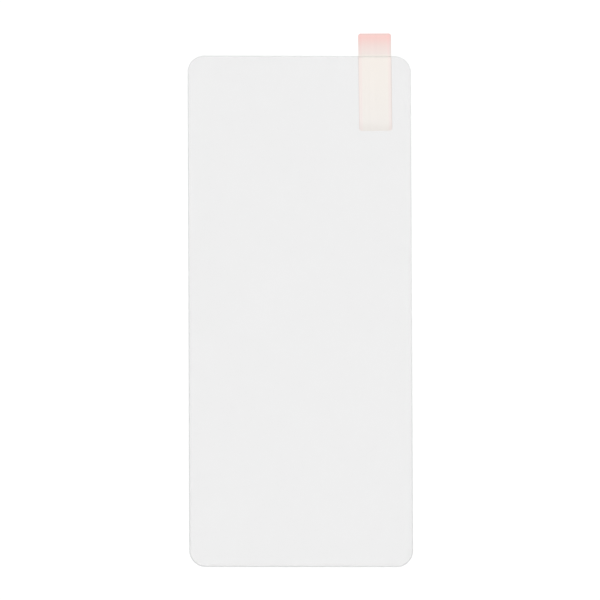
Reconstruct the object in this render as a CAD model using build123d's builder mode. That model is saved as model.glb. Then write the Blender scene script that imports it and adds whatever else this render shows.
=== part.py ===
"""Phone screen protector: tempered glass, adhesive sheet, release liner and pull tab, lying front face up.

Millimetres. The origin is the centre of the adhesive's sticking face, the plane that goes onto a phone's screen.
+Z points out of the glass's front, +Y to the end with the tab, +X to the right as seen from the front.
"""
import os

from build123d import *

# Glass sheet
sheet_width = 69.5
sheet_length = 158.7
corner_radius = 5.15
glass_thickness = 0.33

# Ground edge of the glass: a shallow curve on the front, a small round below it and a chamfer on the back
rim_width = 1.0
rim_drop = 0.12
edge_round = 0.03
back_chamfer = 0.05
grinding_relief = 0.2

# Adhesive sheet and release liner, each set in from the glass's outline
adhesive_thickness = 0.12
adhesive_inset = 0.6
liner_thickness = 0.075
liner_inset = 0.15

# Pull tab, stuck to the back of the liner and a little out of square
tab_width = 10.25
tab_length = 30.3
tab_thickness = 0.06
tab_corner_radius = 0.8
tab_overhang = 7.03
tab_side_gap = 6.04
tab_turn = 0.5

# Heights in the stack, from the sticking face at zero
glass_back = adhesive_thickness
glass_front = glass_back + glass_thickness
shoulder = glass_front - rim_drop
liner_back = -liner_thickness

# Middle of the tab, placed from the glass's right and top edges
tab_x = sheet_width / 2 - tab_side_gap - tab_width / 2
tab_y = sheet_length / 2 + tab_overhang - tab_length / 2

# Reach of a selection by height, well under any thickness here
level = 0.001

os.makedirs("parts", exist_ok=True)

# Glass: a blank with rounded corners, ground along its outline by one profile
with BuildPart() as glass_sheet:
    with BuildSketch(Plane.XY.offset(glass_back)):
        RectangleRounded(sheet_width, sheet_length, corner_radius)
    extrude(amount=glass_thickness)
    outline = glass_sheet.faces().sort_by(Axis.Z)[-1].outer_wire()
    # The curve leaves the flat front without a corner and has fallen by rim_drop where it meets the outline
    with BuildSketch(Plane((sheet_width / 2, 0, glass_front), x_dir=(1, 0, 0), z_dir=(0, -1, 0))):
        with BuildLine():
            curve = TangentArc((-rim_width, 0), (0, -rim_drop), tangent=(1, 0))
            Polyline(
                curve @ 1,
                (grinding_relief, -rim_drop),
                (grinding_relief, grinding_relief),
                (-rim_width, grinding_relief),
                curve @ 0,
            )
        make_face()
    sweep(path=outline, mode=Mode.SUBTRACT)
    fillet(glass_sheet.edges().filter_by_position(Axis.Z, shoulder - level, shoulder + level), edge_round)
    chamfer(glass_sheet.faces().sort_by(Axis.Z)[0].edges(), back_chamfer)
glass_sheet.part.label = "glass_sheet"
export_step(glass_sheet.part, "parts/glass_sheet.step")

# Adhesive: fills the space between the sticking face and the back of the glass
with BuildPart() as adhesive_film:
    with BuildSketch():
        RectangleRounded(
            sheet_width - 2 * adhesive_inset,
            sheet_length - 2 * adhesive_inset,
            corner_radius - adhesive_inset,
        )
    extrude(amount=adhesive_thickness)
adhesive_film.part.label = "adhesive_film"
export_step(adhesive_film.part, "parts/adhesive_film.step")

# Liner: lies on the sticking face and reaches past the adhesive almost to the glass's outline
with BuildPart() as release_liner:
    with BuildSketch():
        RectangleRounded(
            sheet_width - 2 * liner_inset,
            sheet_length - 2 * liner_inset,
            corner_radius - liner_inset,
        )
    extrude(amount=-liner_thickness)
release_liner.part.label = "release_liner"
export_step(release_liner.part, "parts/release_liner.step")

# Tab: most of it is stuck to the liner's back, and its free end stands out past the top edge
with BuildPart() as pull_tab:
    with BuildSketch(Plane((tab_x, tab_y, liner_back)).rotated((0, 0, tab_turn))):
        RectangleRounded(tab_width, tab_length, tab_corner_radius)
    extrude(amount=-tab_thickness)
pull_tab.part.label = "pull_tab"
export_step(pull_tab.part, "parts/pull_tab.step")
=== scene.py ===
"""Phone screen protector on a white table: clear glass on its adhesive, release liner and pull tab.

Metres. The origin is the centre of the sticking face, +Z points out of the glass's front and +Y to the end
with the tab. Each piece is modelled over the solid that it stands for, with its levels and reach taken from
that solid.
"""
import math
from typing import NamedTuple

import bmesh
import bpy
from mathutils import Matrix, Vector


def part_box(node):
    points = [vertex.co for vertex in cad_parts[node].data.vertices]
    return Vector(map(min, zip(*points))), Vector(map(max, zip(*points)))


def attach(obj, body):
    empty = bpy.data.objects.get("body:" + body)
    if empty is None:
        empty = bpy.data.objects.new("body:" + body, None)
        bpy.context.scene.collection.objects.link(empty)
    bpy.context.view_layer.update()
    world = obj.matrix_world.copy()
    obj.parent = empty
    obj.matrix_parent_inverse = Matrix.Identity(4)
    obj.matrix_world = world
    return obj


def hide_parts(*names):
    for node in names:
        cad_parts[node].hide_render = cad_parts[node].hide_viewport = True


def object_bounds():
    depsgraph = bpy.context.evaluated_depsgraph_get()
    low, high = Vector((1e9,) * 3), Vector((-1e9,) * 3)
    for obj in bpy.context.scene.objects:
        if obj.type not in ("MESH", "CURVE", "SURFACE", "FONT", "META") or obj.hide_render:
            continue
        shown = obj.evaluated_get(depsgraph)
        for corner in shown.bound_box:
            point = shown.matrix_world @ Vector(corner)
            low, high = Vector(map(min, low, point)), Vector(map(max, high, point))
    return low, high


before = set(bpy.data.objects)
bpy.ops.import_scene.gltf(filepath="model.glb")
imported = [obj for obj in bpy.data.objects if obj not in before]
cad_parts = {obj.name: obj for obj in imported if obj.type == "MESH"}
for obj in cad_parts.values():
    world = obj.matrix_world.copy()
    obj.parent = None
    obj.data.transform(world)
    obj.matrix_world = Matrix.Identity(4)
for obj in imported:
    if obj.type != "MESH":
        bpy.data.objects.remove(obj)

solid_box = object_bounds()
mm = 0.001
untinted = (1, 1, 1)


class Grain(NamedTuple):
    """How uneven a finish is: its waves per metre, their detail and depth, and the range of roughness."""

    waves: float
    detail: float
    depth: float
    roughness: tuple


# Glass: its corners, and the ground edge from the flat front down to the wall and round to the back
corner_radius = 5.15 * mm
rim_width = 1.0 * mm
rim_drop = 0.12 * mm
edge_round = 0.03 * mm
back_chamfer = 0.05 * mm
# Band of the flat along the curve, which keeps the curve's shading off the rest of the flat
flat_margin = 0.3 * mm

# Pull tab: turned a little on the liner, with its free end past the glass
tab_width = 10.25 * mm
tab_length = 30.3 * mm
tab_corner_radius = 0.8 * mm
tab_turn = math.radians(0.5)

# Bonded faces stay this far apart, so that light meets them one after the other
bond_line = 0.002 * mm

# Fineness of the round shapes
corner_steps = 24
round_steps = 4
curve_steps = 8
smooth_angle = math.radians(25)

# Share of a normal along Z, past which a face is a top or a back, or the flat of the glass's front
level_face = 0.99
level_front = 0.9999

# Camera: almost straight above, leaning to the lower left
camera_distance = 6.0
camera_lean = (math.radians(-4.74), math.radians(-4.19))
camera_roll = math.radians(-0.226)
camera_aim = Vector((-0.050 * mm, 3.485 * mm, 0))
camera_lens = 1162.9
camera_reach = 3 * camera_distance

# Light: the room's strength where it lights the object, and the shares of full light of two wide soft lamps
surround_light = 0.88
key_light = 0.14
fill_light = 0.05
lamp_lean = math.radians(52)
lamp_spread = math.radians(80)
key_bearing = math.radians(262)
fill_bearing = math.radians(45)
# Tone of the room by height, from a white horizon past grey walls to a white roof
room_tones = [
    (0.03, (1.0, 1.0, 1.0)),
    (0.08, (0.71, 0.71, 0.71)),
    (0.50, (0.80, 0.80, 0.80)),
    (0.80, (1.0, 1.0, 1.0)),
]

# Table: pale paint, with a glow that lifts it to full white for the eye
table_radius = 7.0
table_corners = 96
table_white = 0.6
table_lift = 0.47

# Clear layers: the share of light that each lets through
glass_tint = (0.997, 0.997, 0.997)
wall_tint = (0.935, 0.965, 0.955)
adhesive_tint = (0.997, 0.997, 0.997)
liner_tint = (0.887, 0.887, 0.887)
# A clear face mirrors this share straight on, and more by a high power towards a glancing angle
face_reflectance = 0.04
glance_power = 5
refractive_index = 1.5
# In through all the layers and out again is a dozen clear faces
most_clear_faces = 32

# Polished faces: a smooth hard coat on the glass, and the rolled film of the liner
hard_coat = Grain(waves=90, detail=2, depth=0.002 * mm, roughness=(0.02, 0.06))
rolled_film = Grain(waves=60, detail=1, depth=0.004 * mm, roughness=(0.05, 0.10))

# Ground glass: fine grain, and broad patches between two dark tones, which are painted shade of the glass's
# edge
wheel_grain = Grain(waves=9000, detail=3, depth=0.004 * mm, roughness=(0.35, 0.55))
patch_waves = 160
patch_limits = (0.3, 0.7)
curve_shade_tones = ((0.06, 0.07, 0.07), (0.13, 0.14, 0.14))
wall_shade_tones = ((0.04, 0.08, 0.07), (0.10, 0.15, 0.14))

# Share of the edge that is matt, in dark tones that are painted shade: on the wall, unevenly, and on the
# curve, where it begins and is full at two distances from the outline, and falls off, as painted shade, to
# the right and to the tab's end
wall_matt_and_shade = 0.03
wear_waves = 700
wear_range = (0.5, 1.5)
curve_matt_and_shade = 0.165
matt_shade_start = 0.38 * mm
matt_shade_full = 0.26 * mm
# Painted shade: how much lighter the curve's dark line gets to the right and to the tab's end
shade_lean = (0.08, 0.30)

# Die-cut edges of the clear films: the drag of the knife, and how cloudy each edge is
knife_drag = Grain(waves=2500, detail=2, depth=0.003 * mm, roughness=(0.25, 0.55))
cloud_range = (0.7, 1.3)
adhesive_edge_tone = (0.62, 0.64, 0.63)
adhesive_edge_cloud = 0.12
liner_edge_tone = (0.62, 0.63, 0.64)
liner_edge_cloud = 0.2

# Glue on the tab: its margins at the sides, the right one wider, which paints the shadow along the tab's
# right edge, and the share of it that wets the liner past the adhesive, whose drier strip also paints part of
# the shade under the glass's edge
glue_margin_left = 0.09 * mm
right_margin_and_shadow = 0.15 * mm
loose_glue_and_shade = 0.75

# Tab's colour by share of its length: pink at the free end, cream where it is stuck, duller at the stuck end
tab_tones = [
    (0.04, (0.96, 0.65, 0.61)),
    (0.13, (0.91, 0.74, 0.70)),
    (0.21, (0.90, 0.80, 0.76)),
    (0.235, (0.96, 0.90, 0.84)),
    (0.90, (0.93, 0.89, 0.85)),
    (0.98, (0.87, 0.83, 0.79)),
]
# Towards its sides the tab turns pinker, from one share of its half width to another
side_band = (0.74, 0.82)
side_tint = (1.008, 0.967, 0.977)
# Lines along the cut: a wide one round the free end, and a fine one of painted shade down the sides of the
# stuck part
cut_line = 0.45 * mm
cut_tint = (0.945, 1, 1)
side_shade_width = 0.12 * mm
side_shade_tint = (0.97, 0.91, 0.91)
# Skin of the film, and streaks along it in waves per metre across, along and through
tab_skin = Grain(waves=2200, detail=2, depth=0.003 * mm, roughness=(0.32, 0.42))
streak_waves = (900, 14, 900)
streak_range = (0.97, 1.03)


class Value:
    """One output of a shader node. Arithmetic with numbers and other values adds Math nodes."""

    def __init__(self, nodes, socket):
        self.nodes = nodes
        self.socket = socket

    def beside(self, output):
        """Another output of the same node."""
        return Value(self.nodes, self.socket.node.outputs[output])

    def __add__(self, other):
        return self.nodes.math("ADD", self, other)

    __radd__ = __add__

    def __sub__(self, other):
        return self.nodes.math("SUBTRACT", self, other)

    def __rsub__(self, other):
        return self.nodes.math("SUBTRACT", other, self)

    def __mul__(self, other):
        return self.nodes.math("MULTIPLY", self, other)

    __rmul__ = __mul__

    def __truediv__(self, other):
        return self.nodes.math("DIVIDE", self, other)

    def __pow__(self, other):
        return self.nodes.math("POWER", self, other)

    def __lt__(self, other):
        return self.nodes.math("LESS_THAN", self, other)

    def __gt__(self, other):
        return self.nodes.math("GREATER_THAN", self, other)

    def __abs__(self):
        return self.nodes.math("ABSOLUTE", self, 0.0)


def between(limits, share):
    """What lies a share of the way from the first limit to the second."""
    first, second = limits
    return first + (second - first) * share


class Nodes:
    """The node tree of a material or of the world."""

    def __init__(self, owner):
        owner.use_nodes = True
        self.tree = owner.node_tree
        self.tree.nodes.clear()

    def node(self, kind, settings, inputs, output=0):
        """Adds a node, makes its settings, then fills its sockets with values or links. Gives one output."""
        node = self.tree.nodes.new("ShaderNode" + kind)
        for name, setting in settings.items():
            if name == "stops":
                self.fill_ramp(node.color_ramp, setting)
            else:
                setattr(node, name, setting)
        for name, given in inputs.items():
            if isinstance(given, Value):
                self.tree.links.new(given.socket, node.inputs[name])
            else:
                node.inputs[name].default_value = given
        return Value(self, node.outputs[output]) if node.outputs else None

    @staticmethod
    def fill_ramp(ramp, stops):
        """Puts a ramp's stops in order of place, each with its colour."""
        while len(ramp.elements) < len(stops):
            ramp.elements.new(1.0)
        for element, (place, colour) in zip(ramp.elements, stops):
            element.position = place
            element.color = (*colour, 1.0)

    def math(self, operation, first, second):
        return self.node("Math", {"operation": operation}, {0: first, 1: second})

    def place(self):
        """The point on the piece, in the frame that all pieces share."""
        return self.node("TexCoord", {}, {}, "Object")

    def axes(self, vector):
        """The measures of a vector along X, Y and Z."""
        x = self.node("SeparateXYZ", {}, {"Vector": vector}, "X")
        return x, x.beside("Y"), x.beside("Z")

    def noise(self, vector, waves, detail=2):
        """Soft waves between nought and one."""
        return self.node("TexNoise", {}, {"Vector": vector, "Scale": waves, "Detail": detail}, "Fac")

    def waves(self, grain):
        """The waves of a finish over the piece."""
        return self.noise(self.place(), grain.waves, grain.detail)

    def texture(self, grain):
        """The sockets of a shader that follow the waves of a finish."""
        waves = self.waves(grain)
        normal = self.node("Bump", {}, {"Height": waves, "Distance": grain.depth}, "Normal")
        return {"Roughness": between(grain.roughness, waves), "Normal": normal}

    def seen(self):
        """One for what is looked at, straight, mirrored or through glass, and nought for what gives light."""
        camera = self.node("LightPath", {}, {}, "Is Camera Ray")
        mirrored = camera.beside("Is Glossy Ray")
        through = camera.beside("Is Transmission Ray")
        return 1 - (1 - camera) * (1 - mirrored) * (1 - through)

    def mirrored_share(self):
        """Share of light that a clear face mirrors: little straight on, nearly all at a glancing angle."""
        # At a blend of one half the node gives one minus the cosine of the angle
        facing = self.node("LayerWeight", {}, {"Blend": 0.5}, "Facing")
        return between((face_reflectance, 1), facing**glance_power)

    def tinted(self, share, colour, tint):
        """A colour that is multiplied by a tint, in the share given."""
        multiply = {"data_type": "RGBA", "blend_type": "MULTIPLY"}
        # The node's sockets for colours come after those for numbers and vectors
        return self.node("Mix", multiply, {0: share, 6: colour, 7: (*tint, 1)}, 2)

    def let_through(self, tint):
        """Light goes straight on, with a tint."""
        return self.node("BsdfTransparent", {}, {"Color": (*tint, 1)})

    def blend(self, share, first, second):
        """The first shader, with a share of it given to the second."""
        return self.node("MixShader", {}, {0: share, 1: first, 2: second})

    def surface(self, shader):
        self.node("OutputMaterial", {}, {"Surface": shader})


def finish(name):
    """A new material with an empty tree, and the tree's builder."""
    material = bpy.data.materials.new(name)
    return material, Nodes(material)


def clear_face(n, tint, grain):
    """A clear face towards the air: light goes through with a tint, or is mirrored."""
    mirror = n.node("BsdfGlossy", {}, {"Color": (*untinted, 1), **n.texture(grain)})
    return n.blend(n.mirrored_share(), n.let_through(tint), mirror)


def matt_shaded_face(n, tones):
    """Glass as the grinding wheel leaves it: matt, in patches between two dark tones that are painted shade
    of the edge.
    """
    patches = n.noise(n.place(), patch_waves)
    tone = n.node("ValToRGB", {"stops": list(zip(patch_limits, tones))}, {"Fac": patches})
    sockets = {"Base Color": tone, "IOR": refractive_index, **n.texture(wheel_grain)}
    return n.node("BsdfPrincipled", {}, sockets)


def polished_glass():
    """The flat of the front, under its hard coat."""
    material, n = finish("polished_glass")
    n.surface(clear_face(n, glass_tint, hard_coat))
    return material


def ground_curve():
    """The curve at the front's edge and its small round: polished near the flat, a bit matt at the foot, with
    painted shade in the matt's dark tones.
    """
    material, n = finish("ground_curve")
    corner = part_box("glass_sheet")[1]
    x, y, z = n.axes(n.place())
    # Painted shade: the line is darker towards the lower end and the left than towards the tab's corner
    shade_bias = 1 - shade_lean[0] / corner.x * x - shade_lean[1] / corner.y * y
    # The curve falls with the square of the way out from the flat
    share = shade_bias * n.node(
        "MapRange",
        {"interpolation_type": "SMOOTHSTEP"},
        {
            "Value": (corner.z - z) / rim_drop,
            "From Min": (1 - matt_shade_start / rim_width) ** 2,
            "From Max": (1 - matt_shade_full / rim_width) ** 2,
            "To Max": curve_matt_and_shade,
        },
    )
    n.surface(n.blend(share, clear_face(n, glass_tint, hard_coat), matt_shaded_face(n, curve_shade_tones)))
    return material


def ground_wall():
    """The wall, and the chamfer below it: a little matt, with painted shade in the matt's dark tones."""
    material, n = finish("ground_wall")
    share = wall_matt_and_shade * between(wear_range, n.noise(n.place(), wear_waves))
    n.surface(n.blend(share, clear_face(n, wall_tint, hard_coat), matt_shaded_face(n, wall_shade_tones)))
    return material


def bonded_face(name, tint):
    """A face that is stuck to the next layer: no gloss, only the layer's faint tint."""
    material, n = finish(name)
    n.surface(n.let_through(tint))
    return material


def cut_edge(name, tone, cloud):
    """The die-cut edge of a clear film, a little cloudy."""
    material, n = finish(name)
    alpha = cloud * between(cloud_range, n.waves(knife_drag))
    sockets = {"Base Color": (*tone, 1), "Alpha": alpha, **n.texture(knife_drag)}
    n.surface(n.node("BsdfPrincipled", {}, sockets))
    return material


def tab_place(n):
    """Distance across the tab from its middle line, and along it from its free end."""
    low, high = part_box("pull_tab")
    centre = (low + high) / 2
    turned = n.node(
        "Mapping",
        {"vector_type": "TEXTURE"},
        {"Vector": n.place(), "Location": centre, "Rotation": (0, 0, tab_turn)},
    )
    across, lengthways, _ = n.axes(turned)
    return across, tab_length / 2 - lengthways


def liner_back():
    """The back of the liner: glossy film over air, but clear where the tab's glue wets it. Its drier strips
    along the tab's right side and past the adhesive also paint shade lines.
    """
    material, n = finish("liner_back")
    across, along = tab_place(n)
    past_left = across > glue_margin_left - tab_width / 2
    short_of_right = across < tab_width / 2 - right_margin_and_shadow
    # Past the adhesive nothing presses the liner flat, and the glue wets less of it, which also paints part
    # of the shade line under the glass's edge
    y = n.axes(n.place())[1]
    pressed = between((loose_glue_and_shade, 1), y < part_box("adhesive_film")[1].y)
    wetted = past_left * short_of_right * (along < tab_length) * pressed
    n.surface(n.blend(wetted, clear_face(n, liner_tint, rolled_film), n.let_through(untinted)))
    return material


def tab_film():
    """Tinted film: pink at the free end, cream along the stuck part, with lines along its cut sides, those
    along the stuck part painted shade.
    """
    material, n = finish("tab_film")
    across, along = tab_place(n)
    half_width = tab_width / 2
    off_middle = abs(across)
    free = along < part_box("pull_tab")[1].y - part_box("glass_sheet")[1].y

    fade = n.node("ValToRGB", {"stops": tab_tones}, {"Fac": along / tab_length})
    start, end = side_band
    band = n.node("MapRange", {}, {"Value": off_middle / half_width, "From Min": start, "From Max": end})
    pinker = n.tinted(band, fade, side_tint)
    within_cut = (off_middle < half_width - cut_line) * (along > cut_line)
    outlined = n.tinted(free * (1 - within_cut), pinker, cut_tint)
    # Painted shade down the sides of the stuck part
    at_side = off_middle > half_width - side_shade_width
    lined = n.tinted((1 - free) * at_side, outlined, side_shade_tint)

    stretched = n.node("Mapping", {}, {"Vector": n.place(), "Scale": streak_waves})
    shade = between(streak_range, n.noise(stretched, 1))
    streaked = n.node("VectorMath", {"operation": "SCALE"}, {0: lined, "Scale": shade})
    sockets = {"Base Color": streaked, "IOR": refractive_index, **n.texture(tab_skin)}
    n.surface(n.node("BsdfPrincipled", {}, sockets))
    return material


def rounded_sheet(name, middle, size, radius, turn=0.0):
    """A flat sheet with rounded corners, all selected and left in edit mode."""
    bpy.ops.object.select_all(action="DESELECT")
    bpy.ops.mesh.primitive_plane_add(size=1, location=middle, rotation=(0, 0, turn))
    piece = bpy.context.object
    piece.name = name
    piece.data.name = name
    piece.scale = (*size, 1)
    bpy.ops.object.transform_apply(location=True, rotation=True, scale=True)
    bpy.ops.object.mode_set(mode="EDIT")
    bpy.ops.mesh.select_all(action="SELECT")
    bpy.ops.mesh.bevel(offset=radius, segments=corner_steps, affect="VERTICES")
    bpy.ops.mesh.select_all(action="SELECT")
    return piece


def raise_sheet(height):
    """Draws the selected sheet up into a closed plate. Its top face stays selected."""
    bpy.ops.mesh.extrude_region_move(TRANSFORM_OT_translate={"value": (0, 0, height)})


def pick_faces(piece, wanted):
    """Selects just the faces whose middle and normal are wanted."""
    bpy.ops.mesh.select_mode(type="FACE")
    bpy.ops.mesh.select_all(action="DESELECT")
    mesh = bmesh.from_edit_mesh(piece.data)
    mesh.normal_update()
    for face in mesh.faces:
        face.select_set(wanted(face.calc_center_median(), face.normal))
    bmesh.update_edit_mesh(piece.data)


def grind_arc(radius, start, end, steps):
    """Insets the selected top face step by step along an arc whose normal rises from start to end."""
    angles = [between((start, end), i / steps) for i in range(steps + 1)]
    for a, b in zip(angles, angles[1:]):
        inwards = radius * (math.cos(a) - math.cos(b))
        upwards = radius * (math.sin(b) - math.sin(a))
        bpy.ops.mesh.inset(thickness=inwards, depth=upwards)


def dress(piece, materials, node):
    """Leaves edit mode, smooths the round shapes, hangs the piece on the body's root and hides the solid that
    it stands for.

    materials holds pairs of a material and the test for its faces, and the first one covers the rest.
    """
    bpy.ops.mesh.select_all(action="SELECT")
    bpy.ops.mesh.normals_make_consistent(inside=False)
    for index, (material, wanted) in enumerate(materials):
        piece.data.materials.append(material)
        pick_faces(piece, wanted)
        piece.active_material_index = index
        bpy.ops.object.material_slot_assign()
    bpy.ops.mesh.select_all(action="DESELECT")
    bpy.ops.object.mode_set(mode="OBJECT")
    bpy.ops.object.shade_smooth_by_angle(angle=smooth_angle)
    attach(piece, "root")
    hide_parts(node)


def faces_up(middle, normal):
    return normal.z > level_face


def faces_down(middle, normal):
    return normal.z < -level_face


def faces_out(middle, normal):
    return abs(normal.z) < level_face


def model_glass():
    """The tempered glass: a plate whose front is ground to a shallow curve, a small round and a wall."""
    low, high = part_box("glass_sheet")
    size = (high - low).xy
    curve_radius = (rim_width**2 + rim_drop**2) / (2 * rim_drop)
    upright = math.pi / 2
    # The curve and the round share a tangent at their join
    join = math.acos((rim_width - edge_round) / (curve_radius - edge_round))
    curve_rise = curve_radius * (1 - math.sin(join))
    wall_top = high.z - curve_rise - edge_round * math.sin(join)
    wall_foot = low.z + back_chamfer

    piece = rounded_sheet("glass_front", (0, 0, wall_foot), size, corner_radius)
    raise_sheet(wall_top - wall_foot)
    grind_arc(edge_round, 0, join, round_steps)
    grind_arc(curve_radius, join, upright, curve_steps)
    bpy.ops.mesh.inset(thickness=flat_margin, depth=0)
    pick_faces(piece, faces_down)
    bpy.ops.mesh.inset(thickness=back_chamfer, depth=back_chamfer)

    def on_flat(middle, normal):
        return normal.z > level_front

    def on_curve(middle, normal):
        return middle.z > wall_top and not on_flat(middle, normal)

    def on_wall(middle, normal):
        return middle.z < wall_top and not faces_down(middle, normal)

    dress(
        piece,
        [
            (polished_glass(), on_flat),
            (ground_curve(), on_curve),
            (ground_wall(), on_wall),
            (bonded_face("glass_back", untinted), faces_down),
        ],
        "glass_sheet",
    )


def model_film(node, name, finishes):
    """A flat film that follows the glass's outline, set in by as much as its solid is.

    finishes holds the materials of its top, edge and back.
    """
    low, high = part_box(node)
    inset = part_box("glass_sheet")[1].x - high.x
    piece = rounded_sheet(name, (0, 0, low.z), (high - low).xy, corner_radius - inset)
    raise_sheet(high.z - low.z - bond_line)
    top, edge, back = finishes
    dress(piece, [(top, faces_up), (edge, faces_out), (back, faces_down)], node)


def model_tab():
    """The pull tab: a strip of thin film, turned a little, with small round corners."""
    low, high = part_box("pull_tab")
    centre = (low + high) / 2
    piece = rounded_sheet(
        "tab_strip", (centre.x, centre.y, low.z), (tab_width, tab_length), tab_corner_radius, tab_turn
    )
    raise_sheet(high.z - low.z - bond_line)
    dress(piece, [(tab_film(), lambda middle, normal: True)], "pull_tab")


def lay_table():
    """A white table under the object, which still takes its shadow."""
    bpy.ops.object.select_all(action="DESELECT")
    bpy.ops.mesh.primitive_circle_add(
        vertices=table_corners, radius=table_radius, fill_type="NGON", location=(0, 0, solid_box[0].z)
    )
    table = bpy.context.object
    table.name = "table"
    material, n = finish("white_table")
    painted = n.node("BsdfDiffuse", {}, {"Color": (table_white, table_white, table_white, 1)})
    lift = n.node("Emission", {}, {"Strength": table_lift * n.seen()})
    n.surface(n.node("AddShader", {}, {0: painted, 1: lift}))
    table.data.materials.append(material)


def light_room():
    """Walls all round, with a soft lamp on the left and a weaker one behind on the right."""
    world = bpy.data.worlds.new("white_room")
    bpy.context.scene.world = world
    n = Nodes(world)
    height = n.axes(n.node("TexCoord", {}, {}, "Generated"))[2]
    walls = n.node("ValToRGB", {"stops": room_tones}, {"Fac": height})
    strength = between((surround_light, 1), n.seen())
    room = n.node("Background", {}, {"Color": walls, "Strength": strength})
    n.node("OutputWorld", {}, {"Surface": room})

    hang_lamp("key_lamp", key_bearing, key_light)
    hang_lamp("fill_lamp", fill_bearing, fill_light)


def hang_lamp(name, bearing, share):
    """A far, wide lamp that leans off the vertical and gives the table its share of full light.

    The bearing is the lamp's, seen from above and turned clockwise from +Y.
    """
    bpy.ops.object.light_add(type="SUN", rotation=(lamp_lean, 0, math.pi - bearing))
    lamp = bpy.context.object
    lamp.name = name
    lamp.data.angle = lamp_spread
    lamp.data.energy = math.pi * share / math.cos(lamp_lean)
    # A flat sheet mirrors a lamp all over at once and turns white, so the lamps aren't mirrored
    lamp.visible_glossy = False


def set_camera():
    """The camera stands off along its lean, and rolls a little about its line of sight."""
    back = Vector((math.tan(camera_lean[0]), math.tan(camera_lean[1]), 1)).normalized()
    up = (Vector((0, 1, 0)) - back * back.y).normalized()
    right = up.cross(back)
    turned = Matrix((right, up, back)).transposed() @ Matrix.Rotation(camera_roll, 3, "Z")
    bpy.ops.object.camera_add()
    camera = bpy.context.object
    camera.matrix_world = Matrix.Translation(camera_aim + back * camera_distance) @ turned.to_4x4()
    camera.data.lens = camera_lens
    camera.data.clip_end = camera_reach
    bpy.context.scene.camera = camera


model_glass()
model_film(
    "adhesive_film",
    "adhesive_sheet",
    (
        bonded_face("adhesive_top", adhesive_tint),
        cut_edge("adhesive_edge", adhesive_edge_tone, adhesive_edge_cloud),
        bonded_face("adhesive_back", untinted),
    ),
)
model_film(
    "release_liner",
    "liner_sheet",
    (
        bonded_face("liner_top", untinted),
        cut_edge("liner_edge", liner_edge_tone, liner_edge_cloud),
        liner_back(),
    ),
)
model_tab()
lay_table()
light_room()
set_camera()

scene = bpy.context.scene
scene.view_settings.view_transform = "Standard"
scene.cycles.transparent_max_bounces = most_clear_faces
